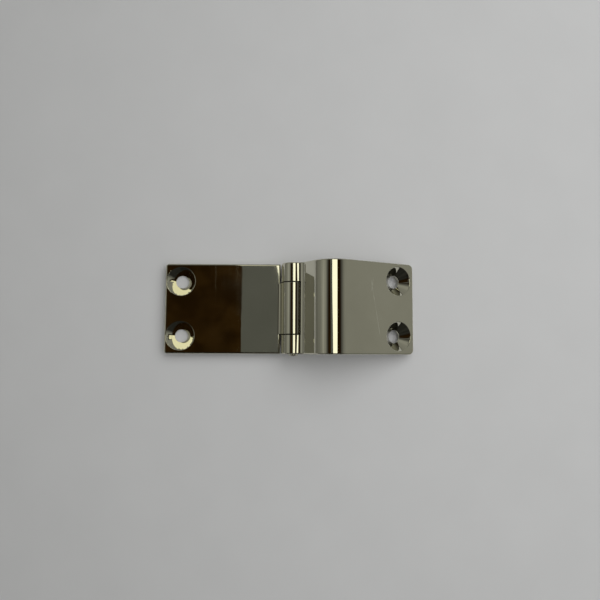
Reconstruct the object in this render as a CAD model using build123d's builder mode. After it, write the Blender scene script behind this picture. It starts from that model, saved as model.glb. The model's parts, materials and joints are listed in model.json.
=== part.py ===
"""Cranked marine hinge, lying on its back as it rests on a table.

The frame has +Z up and +Y along the pin. The origin is on the mounting plane of the
flat leaf, straight under the pin's axis and midway along it. The flat leaf lies to -X,
and the cranked leaf reaches over to +X until its free end rests on the same plane.
All lengths are in millimetres and all angles in degrees.
"""

import os
from math import asin, atan2, cos, degrees, hypot, isclose, radians, sin, sqrt, tan

from build123d import *

# Leaves
leaf_width = 38.0
leaf_thickness = 4.0
flat_leaf_reach = 54.3
cranked_leaf_reach = 45.35
flat_leaf_corner_radius = 1.2
cranked_leaf_corner_radius = 2.0
front_edge_round = 0.7
back_edge_round = 0.3
cranked_edge_round = 0.5

# Crank, measured with the two leaves parallel. The front of the riser is in line with the pin's axis.
crank_height = 22.2
riser_lean = 9.0
shoulder_radius = 10.2
riser_root_radius = 3.3
riser_lip_round = 0.2

# Knuckles and pin
knuckle_diameter = 10.2
outer_knuckle_length = 8.0
knuckle_side_gap = 0.2
knuckle_swing_gap = 0.55
knuckle_edge_round = 0.25
knuckle_root_fillet = 1.6
pin_diameter = 4.0
pin_running_clearance = 0.05
pin_end_stand_out = 0.8
pin_end_round = 0.7

# Countersunk screw holes
screw_hole_diameter = 5.5
countersink_diameter = 12.2
countersink_angle = 90.0
countersink_rim_round = 0.4
screw_hole_side_inset = 7.5
flat_leaf_hole_inset = 6.6
cranked_leaf_hole_inset = 7.7

# Values that follow from the sizes above
knuckle_radius = knuckle_diameter / 2
pin_radius = pin_diameter / 2
hole_radius = screw_hole_diameter / 2
countersink_radius = countersink_diameter / 2
screw_hole_spacing = leaf_width - 2 * screw_hole_side_inset
middle_knuckle_length = leaf_width - 2 * (outer_knuckle_length + knuckle_side_gap)
swing_radius = knuckle_radius + knuckle_swing_gap
tongue_length = swing_radius + knuckle_root_fillet + front_edge_round
flat_back_height = crank_height - leaf_thickness

# Share by which two lengths may differ and still count as the same
same_length = 1e-6

# The cranked leaf droops from the parallel position until its free end meets the mounting plane.
# The lower edge of that end is rounded, and the centre of its rounding is the point followed here.
end_round_x = cranked_leaf_reach - cranked_edge_round
end_round_z = flat_back_height + cranked_edge_round
end_round_rise = degrees(atan2(end_round_z, end_round_x))
end_round_reach = hypot(end_round_x, end_round_z)
end_round_fall = degrees(asin((knuckle_radius - cranked_edge_round) / end_round_reach))
rest_droop = end_round_rise + end_round_fall


def riser_front(height):
    """Place of the riser's front face over the leaf, at a height over the pin's axis."""
    return height * tan(radians(riser_lean))


def riser_back(height):
    """Place of the riser's back face over the leaf, at a height over the pin's axis."""
    return riser_front(height) + leaf_thickness / cos(radians(riser_lean))


def height_at_radius(face, radius):
    """Height over the pin's axis at which a face of the riser is a given radius away from that axis."""
    away = face(0) * cos(radians(riser_lean))
    return sqrt(radius**2 - away**2) * cos(radians(riser_lean)) - away * sin(radians(riser_lean))


def on_swing_cylinder(edge):
    """Whether an edge lies on the cylinder that clears the middle knuckle."""
    place = flat_section.to_local_coords(edge.center())
    return isclose(hypot(place.X, place.Y), swing_radius, rel_tol=same_length)


def is_countersink_rim(edge):
    """Whether an edge is the rim of a countersink."""
    circular = edge.geom_type == GeomType.CIRCLE
    return circular and isclose(edge.radius, countersink_radius, rel_tol=same_length)


# Sections across the pin, with x over the leaves and y upwards. The second turns with the cranked leaf.
flat_section = Plane(origin=(0, 0, knuckle_radius), x_dir=(1, 0, 0), z_dir=(0, -1, 0))
crank_section = Plane(
    origin=flat_section.origin,
    x_dir=(cos(radians(rest_droop)), 0, -sin(radians(rest_droop))),
    z_dir=flat_section.z_dir,
)
crank_front = Plane(
    origin=crank_section.from_local_coords((cranked_leaf_reach, crank_height, 0)),
    x_dir=crank_section.x_dir,
    z_dir=crank_section.y_dir,
)

os.makedirs("parts", exist_ok=True)


# Plate of the flat leaf, with its front and back edges eased all round
with BuildPart() as flat_plate:
    with BuildSketch() as flat_outline:
        with Locations((-flat_leaf_reach, 0)):
            Rectangle(flat_leaf_reach - swing_radius, leaf_width, align=(Align.MIN, Align.CENTER))
        fillet(flat_outline.vertices().group_by(Axis.X)[0], flat_leaf_corner_radius)
    extrude(amount=leaf_thickness)
    fillet(flat_plate.faces().sort_by(Axis.Z)[-1].edges(), front_edge_round)
    fillet(flat_plate.faces().sort_by(Axis.Z)[0].edges(), back_edge_round)

# Flat leaf: the middle knuckle on its tongue, rooted in the plate by a concave fillet
with BuildPart() as flat_leaf:
    tongue_top = leaf_thickness - knuckle_radius
    root_x = -sqrt(knuckle_radius**2 - tongue_top**2)
    with BuildSketch(flat_section) as knuckle_outline:
        Circle(knuckle_radius)
        with Locations((0, -knuckle_radius)):
            Rectangle(tongue_length, leaf_thickness, align=(Align.MAX, Align.MIN))
        fillet(knuckle_outline.vertices().sort_by_distance((root_x, tongue_top))[0], knuckle_root_fillet)
    extrude(amount=middle_knuckle_length / 2, both=True)
    knuckle_ends = flat_leaf.faces().filter_by(Axis.Y)
    fillet(knuckle_ends.edges(), knuckle_edge_round)
    add(flat_plate.part)
    with BuildSketch(flat_section):
        Circle(pin_radius + pin_running_clearance)
    extrude(amount=leaf_width, both=True, mode=Mode.SUBTRACT)
    with Locations((flat_leaf_hole_inset - flat_leaf_reach, 0, leaf_thickness)):
        with GridLocations(0, screw_hole_spacing, 1, 2):
            CounterSinkHole(hole_radius, countersink_radius, counter_sink_angle=countersink_angle)
    fillet(flat_leaf.edges().filter_by(is_countersink_rim), countersink_rim_round)
flat_leaf.part.label = "flat_leaf"
export_step(flat_leaf.part, "parts/flat_leaf.step")

# Cranked leaf: a plate bent in an S from its knuckle, with the knuckle slotted for that of the flat leaf
with BuildPart() as cranked_leaf:
    with BuildSketch(crank_section) as crank_outline:
        Circle(knuckle_radius)
        with BuildLine():
            Polyline(
                (riser_front(0), 0),
                (riser_front(crank_height), crank_height),
                (cranked_leaf_reach, crank_height),
                (cranked_leaf_reach, flat_back_height),
                (riser_back(flat_back_height), flat_back_height),
                (riser_back(0), 0),
                close=True,
            )
        make_face()
        bends = (
            (riser_front, crank_height, shoulder_radius),
            (riser_back, flat_back_height, shoulder_radius - leaf_thickness),
            (riser_front, height_at_radius(riser_front, knuckle_radius), riser_root_radius),
            (riser_back, height_at_radius(riser_back, knuckle_radius), knuckle_root_fillet),
        )
        for face, height, radius in bends:
            fillet(crank_outline.vertices().sort_by_distance((face(height), height))[0], radius)
    extrude(amount=leaf_width / 2, both=True)
    with BuildSketch(flat_section):
        Circle(swing_radius)
    extrude(amount=middle_knuckle_length / 2 + knuckle_side_gap, both=True, mode=Mode.SUBTRACT)
    fillet(cranked_leaf.edges().filter_by(Axis.Y).filter_by(on_swing_cylinder), riser_lip_round)

    # Corners of the free end, then one soft edge along the whole outline
    crank_reach = Axis(crank_section.origin, crank_section.x_dir)
    crank_rise = Axis(crank_section.origin, crank_section.y_dir)
    free_end = cranked_leaf.faces().sort_by(crank_reach)[-1]
    fillet(free_end.edges().filter_by(crank_rise), cranked_leaf_corner_radius)
    sides = cranked_leaf.faces().filter_by(Axis.Y).group_by(Axis.Y)
    side_edges = sides[0].edges() + sides[-1].edges()
    fillet(side_edges - side_edges.filter_by(crank_rise), cranked_edge_round)

    with BuildSketch(flat_section):
        Circle(pin_radius)
    extrude(amount=leaf_width, both=True, mode=Mode.SUBTRACT)
    with Locations(crank_front.location * Location((-cranked_leaf_hole_inset, 0, 0))):
        with GridLocations(0, screw_hole_spacing, 1, 2):
            CounterSinkHole(hole_radius, countersink_radius, counter_sink_angle=countersink_angle)
    fillet(cranked_leaf.edges().filter_by(is_countersink_rim), countersink_rim_round)
cranked_leaf.part.label = "cranked_leaf"
export_step(cranked_leaf.part, "parts/cranked_leaf.step")

# Hinge pin, flush at one end and domed where it stands out at the other
with BuildPart() as hinge_pin:
    with BuildSketch(flat_section.offset(-leaf_width / 2)):
        Circle(pin_radius)
    extrude(amount=leaf_width + pin_end_stand_out)
    fillet(hinge_pin.faces().sort_by(Axis.Y)[0].edges(), pin_end_round)
hinge_pin.part.label = "hinge_pin"
export_step(hinge_pin.part, "parts/hinge_pin.step")
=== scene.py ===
"""Looks of the cranked marine hinge: hand-polished stainless steel, lying face up on a pale table top."""

import json
from math import radians

import bmesh
import bpy
from mathutils import Matrix, Vector


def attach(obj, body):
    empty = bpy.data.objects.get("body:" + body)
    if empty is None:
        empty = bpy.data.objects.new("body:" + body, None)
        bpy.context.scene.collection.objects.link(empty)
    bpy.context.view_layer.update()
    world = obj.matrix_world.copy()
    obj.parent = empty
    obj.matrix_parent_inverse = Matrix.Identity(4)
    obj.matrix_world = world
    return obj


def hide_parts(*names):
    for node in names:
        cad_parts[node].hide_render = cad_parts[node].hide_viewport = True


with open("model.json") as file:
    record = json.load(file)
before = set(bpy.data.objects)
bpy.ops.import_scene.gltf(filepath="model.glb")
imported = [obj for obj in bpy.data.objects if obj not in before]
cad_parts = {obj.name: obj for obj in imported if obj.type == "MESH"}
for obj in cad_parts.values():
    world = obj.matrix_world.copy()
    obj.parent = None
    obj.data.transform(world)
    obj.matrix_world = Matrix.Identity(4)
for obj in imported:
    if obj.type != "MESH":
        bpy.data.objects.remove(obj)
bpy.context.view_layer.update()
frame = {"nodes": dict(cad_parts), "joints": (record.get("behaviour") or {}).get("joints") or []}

# Lengths are in metres and angles in degrees. The hinge is seen from nearly straight above.
lens_mm = 34.44
sensor_mm = 36.0
nearest_view = 0.005
camera_place = Vector((0.003411, -0.018378, 0.245076))
camera_pitch = 5.249
camera_sideways = 0.172
camera_roll = 0.285

# Skins of the solids
weld_distance = 0.000002
flat_angle = 0.05
crease_angle = 30.0
large_face_weight = 100

# Joint, as the solids have it: how far the wall that clears the middle knuckle and the ends of its slot reach,
# and how squarely a face looks along the pin if it is such an end
pin_axis = Vector(frame["joints"][0]["pos_m"])
pin_run = Vector((0.0, 1.0, 0.0))
across_pin = Vector((1.0, 0.0, 1.0))
joint_reach = 0.00575
joint_half_length = 0.01105
end_face = 0.5

# A noise is given below by its scale and detail, and lines by a scale along each axis and their detail.
# A roughness or strength is given by two levels of a value and what it is at each of them. A roughness of one
# number is what a mark adds where it is strongest.

# Polished steel
steel_tint_noise = (90.0, 4.0)
steel_tint = ((0.35, (0.645, 0.63, 0.52)), (0.65, (0.675, 0.66, 0.55)))
smudge_noise = (60.0, 6.0)
smudge_roughness = (0.35, 0.70, 0.012, 0.045)
polish_lines = ((2200.0, 40.0, 2200.0), 2.0)
polish_line_roughness = (0.55, 0.80, 0.0, 0.02)
fine_scratches = ((1700.0, 22.0, 1700.0), 1.0)
fine_scratch_roughness = (0.745, 0.77, 0.0, 0.08)
wave_noise = (95.0, 1.0)
wave_height = 0.00002

# Turns of the noise behind the fine scratches, about the three axes. The scratches run along the pin whatever
# the turn is, but each piece gets its own.
no_turn = (0.0, 0.0, 0.0)
flat_leaf_scratch_turn = (0.0, 0.0, 24.0)
cranked_leaf_scratch_turn = (0.0, 28.0, -8.0)
pin_scratch_turn = (0.0, 0.0, 90.0)

# Steel in the joint, its colour painted near black as shade, with tool marks round the pin
joint_mottle_noise = (500.0, 5.0)
# Painted shade: the colours of the steel in the joint are near black.
joint_shade_tint = ((0.35, (0.004, 0.0035, 0.003)), (0.70, (0.014, 0.012, 0.010)))
joint_mottle_roughness = (0.3, 0.7, 0.42, 0.60)
tool_marks = ((120.0, 9000.0, 120.0), 2.0)
tool_mark_height = 0.00001

# Painted shade in the joint lines: where it starts and is darkest on each side of them, and how far out it
# reaches
line_shade_inner = (0.01060, 0.01078)
line_shade_outer = (0.01102, 0.01122)
line_shade_reach = (0.00560, 0.00590)
# Painted shade: the dark tone laid along the joint lines.
line_shade_tone = (0.012, 0.010, 0.008, 1.0)
line_shade_roughness = 0.4

# Long scratches across the front of the cranked leaf: where each starts and ends, and the share of its length
# from the middle at which it starts to fade
crank_front = Vector((0.470481, 0.0, 0.88241))
long_scratches = (
    (Vector((0.03132, 0.01324, 0.01356)), Vector((0.03550, -0.01225, 0.01133))),
    (Vector((0.03262, 0.01252, 0.01287)), Vector((0.03171, 0.00632, 0.01335))),
)
long_scratch_width = 0.0004
long_scratch_depth = 0.001
long_scratch_fade = 0.35
long_scratch_noise = (400.0, 3.0)
long_scratch_strength = (0.40, 0.60, 0.25, 1.0)
long_scratch_tone = (0.88, 0.87, 0.76, 1.0)
long_scratch_roughness = 0.12

# Table top
table_size = 4.0
table_drop = 0.00005
table_noise = (40.0, 5.0)
table_tint = ((0.3, (0.65, 0.655, 0.66)), (0.7, (0.67, 0.675, 0.68)))
table_roughness = (0.3, 0.7, 0.55, 0.65)
table_gloss = 0.2

# Studio ceiling, dark with soft clouds. The clouds are given by two levels of their noise.
ceiling_tone = (0.0142, 0.0067, 0.0014)
cloud_tone = (0.0272, 0.0136, 0.0032, 1.0)
cloud_noise = (26.0, 3.0)
cloud_levels = (0.40, 0.62)
cloud_edge = (0.89, 0.93)

# Studio walls: heights and the wall's level at each, up to the edge of the ceiling. The two walls blend where
# they meet, the near side lies in shade, and the light is slightly uneven all round.
wall_tint = (1.0, 1.0, 0.90)
left_wall = ((0.0, 0.14), (0.34, 0.195), (0.52, 0.245), (0.66, 0.353), (0.78, 0.245), (0.87, 0.06))
left_ceiling_edge = 0.905
right_wall = ((0.0, 0.15), (0.10, 0.225), (0.25, 0.25), (0.59, 0.24), (0.72, 0.178), (0.83, 0.07))
right_ceiling_edge = 0.875
wall_seam = (-0.2, 0.2)
near_side_shade = (-0.50, -0.12, 0.09, 1.0)
room_noise = (5.0, 2.0)
room_strength = (0.35, 0.65, 0.88, 1.12)

# Cards that only shine: their corners and their tone as seen in a mirror. The grey one is nearer and tilted.
bright_card = (
    (-0.125, -0.030, 1.0),
    (0.275, -0.030, 1.0),
    (0.287, 0.460, 1.0),
    (-0.125, 0.460, 1.0),
)
bright_card_tone = (1.55, 1.53, 1.27)
grey_card = (
    (-0.0521, -0.0208, 0.29),
    (-0.0034, -0.0208, 0.29),
    (-0.0164, 0.0503, 0.20),
    (-0.0427, 0.0503, 0.20),
)
grey_card_tone = (0.104, 0.107, 0.097)

# Soft lamps: the main one up to the right, and a weaker one at the near side
key_place = Vector((0.22, 0.17, 0.48))
key_size = 0.80
key_power = 2.4
fill_place = Vector((0.24, -0.26, 0.45))
fill_size = 0.70
fill_power = 0.6


def add_object(name, data):
    """Puts new data into the scene, at the origin."""
    thing = bpy.data.objects.new(name, data)
    bpy.context.scene.collection.objects.link(thing)
    return thing


def new_material(name):
    """An empty node material, its nodes and its shader."""
    material = bpy.data.materials.new(name)
    material.use_nodes = True
    return material, material.node_tree, material.node_tree.nodes["Principled BSDF"]


def noise(tree, vector, scale, detail):
    """Fractal noise over a vector, as a value round one half."""
    texture = tree.nodes.new("ShaderNodeTexNoise")
    texture.inputs["Scale"].default_value = scale
    texture.inputs["Detail"].default_value = detail
    tree.links.new(vector, texture.inputs["Vector"])
    return texture.outputs["Fac"]


def lines(tree, vector, turn, scale, detail):
    """Noise drawn out into lines by a scale along each axis. The turn follows, and only picks other lines."""
    mapping = tree.nodes.new("ShaderNodeMapping")
    mapping.vector_type = "POINT"
    mapping.inputs["Rotation"].default_value = [radians(angle) for angle in turn]
    mapping.inputs["Scale"].default_value = scale
    tree.links.new(vector, mapping.inputs["Vector"])
    return noise(tree, mapping.outputs["Vector"], 1.0, detail)


def spread(tree, value, low, high, to_low, to_high):
    """A value brought from one range to another, and held inside it."""
    node = tree.nodes.new("ShaderNodeMapRange")
    node.inputs["From Min"].default_value = low
    node.inputs["From Max"].default_value = high
    node.inputs["To Min"].default_value = to_low
    node.inputs["To Max"].default_value = to_high
    tree.links.new(value, node.inputs["Value"])
    return node.outputs["Result"]


def combined(tree, operation, first, *others):
    """Values brought together by one operation, each with the result so far."""
    result = first
    for other in others:
        node = tree.nodes.new("ShaderNodeMath")
        node.operation = operation
        tree.links.new(result, node.inputs[0])
        tree.links.new(other, node.inputs[1])
        result = node.outputs["Value"]
    return result


def toned(tree, value, stops):
    """Colours by a value. The stops are places and their colours."""
    ramp = tree.nodes.new("ShaderNodeValToRGB")
    elements = ramp.color_ramp.elements
    elements[0].position = stops[0][0]
    elements[0].color = (*stops[0][1], 1.0)
    elements[1].position = stops[-1][0]
    elements[1].color = (*stops[-1][1], 1.0)
    for place, colour in stops[1:-1]:
        element = elements.new(place)
        element.color = (*colour, 1.0)
    tree.links.new(value, ramp.inputs["Fac"])
    return ramp.outputs["Color"]


def marked(tree, colour, mark, tone):
    """A colour that turns to another tone where a mark is."""
    mix = tree.nodes.new("ShaderNodeMix")
    mix.data_type = "RGBA"
    mix.inputs["B"].default_value = tone
    tree.links.new(mark, mix.inputs["Factor"])
    tree.links.new(colour, mix.inputs["A"])
    return mix.outputs["Result"]


def bumped(tree, shader, height, distance):
    """Raises the surface by a height between 0 and 1 times a distance."""
    bump = tree.nodes.new("ShaderNodeBump")
    bump.inputs["Strength"].default_value = 1.0
    bump.inputs["Distance"].default_value = distance
    tree.links.new(height, bump.inputs["Height"])
    tree.links.new(bump.outputs["Normal"], shader.inputs["Normal"])


def vector_math(tree, operation, vector, fixed=(0.0, 0.0, 0.0)):
    """What comes out of an operation on a vector and a fixed one."""
    node = tree.nodes.new("ShaderNodeVectorMath")
    node.operation = operation
    node.inputs[1].default_value = fixed
    tree.links.new(vector, node.inputs[0])
    return node.outputs


def measured(tree, vector, direction):
    """How far a vector reaches along a direction, either way."""
    reach = vector_math(tree, "DOT_PRODUCT", vector, direction)["Value"]
    size = tree.nodes.new("ShaderNodeMath")
    size.operation = "ABSOLUTE"
    tree.links.new(reach, size.inputs[0])
    return size.outputs["Value"]


def long_scratch(tree, place, start, end):
    """One straight scratch on the front of the cranked leaf, as a value up to 1 that comes and goes."""
    run = end - start
    away = vector_math(tree, "SUBTRACT", place, (start + end) / 2)["Vector"]
    across = measured(tree, away, run.cross(crank_front).normalized())
    along = measured(tree, away, run.normalized())
    below = measured(tree, away, crank_front)
    return combined(
        tree,
        "MULTIPLY",
        spread(tree, across, long_scratch_width / 4, long_scratch_width / 2, 1.0, 0.0),
        spread(tree, along, run.length * long_scratch_fade, run.length / 2, 1.0, 0.0),
        spread(tree, below, long_scratch_depth / 2, long_scratch_depth, 1.0, 0.0),
        spread(tree, noise(tree, place, *long_scratch_noise), *long_scratch_strength),
    )


def joint_line_shade(tree, place):
    """Painted shade along the lines where the knuckles meet, as a value up to 1."""
    away = vector_math(tree, "SUBTRACT", place, pin_axis)["Vector"]
    out = vector_math(tree, "MULTIPLY", away, across_pin)["Vector"]
    radius = vector_math(tree, "LENGTH", out)["Value"]
    along = measured(tree, place, pin_run)
    return combined(
        tree,
        "MULTIPLY",
        spread(tree, along, *line_shade_inner, 0.0, 1.0),
        spread(tree, along, *line_shade_outer, 1.0, 0.0),
        spread(tree, radius, *line_shade_reach, 1.0, 0.0),
    )


def polished_steel(name, scratch_turn, scratch_ends=()):
    """Warm, mirror-polished stainless steel with smudges, polishing lines along the pin and scratches, and
    painted shade along the joint lines.
    """
    material, tree, shader = new_material(name)
    shader.inputs["Metallic"].default_value = 1.0
    place = tree.nodes.new("ShaderNodeTexCoord").outputs["Object"]

    tint = toned(tree, noise(tree, place, *steel_tint_noise), steel_tint)
    smudges = spread(tree, noise(tree, place, *smudge_noise), *smudge_roughness)
    polish = spread(tree, lines(tree, place, no_turn, *polish_lines), *polish_line_roughness)
    scratches = spread(tree, lines(tree, place, scratch_turn, *fine_scratches), *fine_scratch_roughness)
    worn = combined(tree, "ADD", smudges, polish, scratches)
    for start, end in scratch_ends:
        mark = long_scratch(tree, place, start, end)
        tint = marked(tree, tint, mark, long_scratch_tone)
        worn = combined(tree, "ADD", worn, spread(tree, mark, 0.0, 1.0, 0.0, long_scratch_roughness))
    # Painted shade: the steel darkens along the joint lines.
    joint_darkening = joint_line_shade(tree, place)
    tint = marked(tree, tint, joint_darkening, line_shade_tone)
    worn = combined(tree, "ADD", worn, spread(tree, joint_darkening, 0.0, 1.0, 0.0, line_shade_roughness))
    tree.links.new(tint, shader.inputs["Base Color"])
    tree.links.new(worn, shader.inputs["Roughness"])
    bumped(tree, shader, noise(tree, place, *wave_noise), wave_height)
    return material


def joint_shade_steel(name):
    """Dull steel with tool marks round the pin, where no polish reaches. Its colour is painted near black as
    shade in the joint.
    """
    material, tree, shader = new_material(name)
    shader.inputs["Metallic"].default_value = 1.0
    place = tree.nodes.new("ShaderNodeTexCoord").outputs["Object"]
    joint_mottle = noise(tree, place, *joint_mottle_noise)
    # Painted shade: the colour is near black, as the joint lies in shade.
    tree.links.new(toned(tree, joint_mottle, joint_shade_tint), shader.inputs["Base Color"])
    tree.links.new(spread(tree, joint_mottle, *joint_mottle_roughness), shader.inputs["Roughness"])
    bumped(tree, shader, lines(tree, place, no_turn, *tool_marks), tool_mark_height)
    return material


def pale_matt(name):
    """Pale, matt finish of the table top, with a faint mottle."""
    material, tree, shader = new_material(name)
    shader.inputs["Specular IOR Level"].default_value = table_gloss
    place = tree.nodes.new("ShaderNodeTexCoord").outputs["Object"]
    mottle = noise(tree, place, *table_noise)
    tree.links.new(toned(tree, mottle, table_tint), shader.inputs["Base Color"])
    tree.links.new(spread(tree, mottle, *table_roughness), shader.inputs["Roughness"])
    return material


def shining(name, tone):
    """Black finish that shines in a tone and mirrors nothing."""
    material, _, shader = new_material(name)
    shader.inputs["Base Color"].default_value = (0.0, 0.0, 0.0, 1.0)
    shader.inputs["Specular IOR Level"].default_value = 0.0
    shader.inputs["Emission Color"].default_value = (*tone, 1.0)
    shader.inputs["Emission Strength"].default_value = 1.0
    return material


def in_joint(face):
    """Whether a face lies in the gap between the knuckles or in the bore of the pin."""
    centre = face.calc_center_median()
    out = Vector((centre.x - pin_axis.x, 0.0, centre.z - pin_axis.z))
    if out.length > joint_reach or abs(centre.y) > joint_half_length:
        return False
    return abs(face.normal.y) > end_face or face.normal.dot(out) < 0.0


def skin_of(node, name, body, materials):
    """The skin of a solid as one joined mesh, shaded evenly so that reflections run on over it.

    The first of the materials is for what shows, and the second for the faces in the joint.
    """
    shell = bmesh.new()
    shell.from_mesh(frame["nodes"][node].data)
    bmesh.ops.remove_doubles(shell, verts=shell.verts, dist=weld_distance)
    bmesh.ops.dissolve_limit(
        shell,
        angle_limit=radians(flat_angle),
        verts=shell.verts,
        edges=shell.edges,
        use_dissolve_boundaries=False,
    )
    for face in shell.faces:
        face.smooth = True
        face.material_index = 1 if in_joint(face) else 0
    for edge in shell.edges:
        edge.smooth = edge.calc_face_angle(0.0) < radians(crease_angle)
    mesh = bpy.data.meshes.new(name)
    shell.to_mesh(mesh)
    shell.free()
    if "custom_normal" in mesh.attributes:
        mesh.attributes.remove(mesh.attributes["custom_normal"])
    for material in materials:
        mesh.materials.append(material)
    piece = add_object(name, mesh)
    even = piece.modifiers.new("even_shading", "WEIGHTED_NORMAL")
    even.mode = "FACE_AREA"
    even.weight = large_face_weight
    even.keep_sharp = True
    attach(piece, body)
    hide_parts(node)


def lay_table():
    """A wide plain table top under the hinge."""
    sheet = bmesh.new()
    bmesh.ops.create_grid(sheet, x_segments=1, y_segments=1, size=table_size / 2)
    bmesh.ops.translate(sheet, verts=sheet.verts, vec=(0.0, 0.0, -table_drop))
    mesh = bpy.data.meshes.new("table_top")
    sheet.to_mesh(mesh)
    sheet.free()
    mesh.materials.append(pale_matt("pale_table"))
    add_object("table_top", mesh)


def wall_tones(levels, ceiling_edge):
    """Colours of a wall by height, from the table up to the ceiling."""
    tones = [(place, [level * part for part in wall_tint]) for place, level in levels]
    return tones + [(ceiling_edge, ceiling_tone)]


def room():
    """Plain studio round the table: a dark ceiling and pale walls, with the near side in shade."""
    world = bpy.data.worlds.new("studio")
    bpy.context.scene.world = world
    world.use_nodes = True
    tree = world.node_tree
    light = tree.nodes["Background"]
    outwards = tree.nodes.new("ShaderNodeTexCoord").outputs["Generated"]
    split = tree.nodes.new("ShaderNodeSeparateXYZ")
    tree.links.new(outwards, split.inputs["Vector"])
    sideways = split.outputs["X"]
    backwards = split.outputs["Y"]
    upwards = split.outputs["Z"]

    walls = tree.nodes.new("ShaderNodeMix")
    walls.data_type = "RGBA"
    tree.links.new(spread(tree, sideways, *wall_seam, 0.0, 1.0), walls.inputs["Factor"])
    tree.links.new(toned(tree, upwards, wall_tones(left_wall, left_ceiling_edge)), walls.inputs["A"])
    tree.links.new(toned(tree, upwards, wall_tones(right_wall, right_ceiling_edge)), walls.inputs["B"])

    overhead = spread(tree, upwards, *cloud_edge, 0.0, 1.0)
    clouds = spread(tree, noise(tree, outwards, *cloud_noise), *cloud_levels, 0.0, 1.0)
    clouded = combined(tree, "MULTIPLY", overhead, clouds)
    tree.links.new(marked(tree, walls.outputs["Result"], clouded, cloud_tone), light.inputs["Color"])

    shade = spread(tree, backwards, *near_side_shade)
    mottle = spread(tree, noise(tree, outwards, *room_noise), *room_strength)
    tree.links.new(combined(tree, "MULTIPLY", shade, mottle), light.inputs["Strength"])


def card(name, corners, tone):
    """A shining card over the hinge, seen only in what shines itself."""
    sheet = bmesh.new()
    sheet.faces.new([sheet.verts.new(corner) for corner in corners])
    mesh = bpy.data.meshes.new(name)
    sheet.to_mesh(mesh)
    sheet.free()
    mesh.materials.append(shining(name, tone))
    thing = add_object(name, mesh)
    thing.visible_camera = False
    thing.visible_diffuse = False
    thing.visible_shadow = False


def soft_lamp(name, place, size, power):
    """A round soft lamp turned to the hinge. What shines doesn't show it."""
    data = bpy.data.lights.new(name, "AREA")
    data.shape = "DISK"
    data.size = size
    data.energy = power
    thing = add_object(name, data)
    thing.location = place
    thing.rotation_euler = (-place).to_track_quat("-Z", "Y").to_euler()
    thing.visible_camera = False
    thing.visible_glossy = False


def view_camera():
    """The camera, nearly straight above the hinge."""
    data = bpy.data.cameras.new("camera")
    data.sensor_width = sensor_mm
    data.lens = lens_mm
    data.clip_start = nearest_view
    turn = Matrix.Rotation(radians(camera_pitch), 4, "X")
    turn = turn @ Matrix.Rotation(radians(camera_sideways), 4, "Y")
    turn = turn @ Matrix.Rotation(radians(camera_roll), 4, "Z")
    thing = add_object("camera", data)
    thing.matrix_world = Matrix.Translation(camera_place) @ turn
    bpy.context.scene.camera = thing


# The hinge
joint_shaded = joint_shade_steel("joint_shade_steel")
flat_steel = polished_steel("flat_leaf_steel", flat_leaf_scratch_turn)
crank_steel = polished_steel("cranked_leaf_steel", cranked_leaf_scratch_turn, long_scratches)
pin_steel = polished_steel("pin_steel", pin_scratch_turn)
skin_of("flat_leaf", "flat_leaf_polished", "flat_leaf", (flat_steel, joint_shaded))
skin_of("cranked_leaf", "cranked_leaf_polished", "cranked_leaf", (crank_steel, joint_shaded))
skin_of("hinge_pin", "hinge_pin_polished", "cranked_leaf", (pin_steel, joint_shaded))

# The studio
lay_table()
room()
card("bright_card", bright_card, bright_card_tone)
card("grey_card", grey_card, grey_card_tone)
soft_lamp("key_light", key_place, key_size, key_power)
soft_lamp("fill_light", fill_place, fill_size, fill_power)
view_camera()

bpy.context.scene.view_settings.view_transform = "Standard"
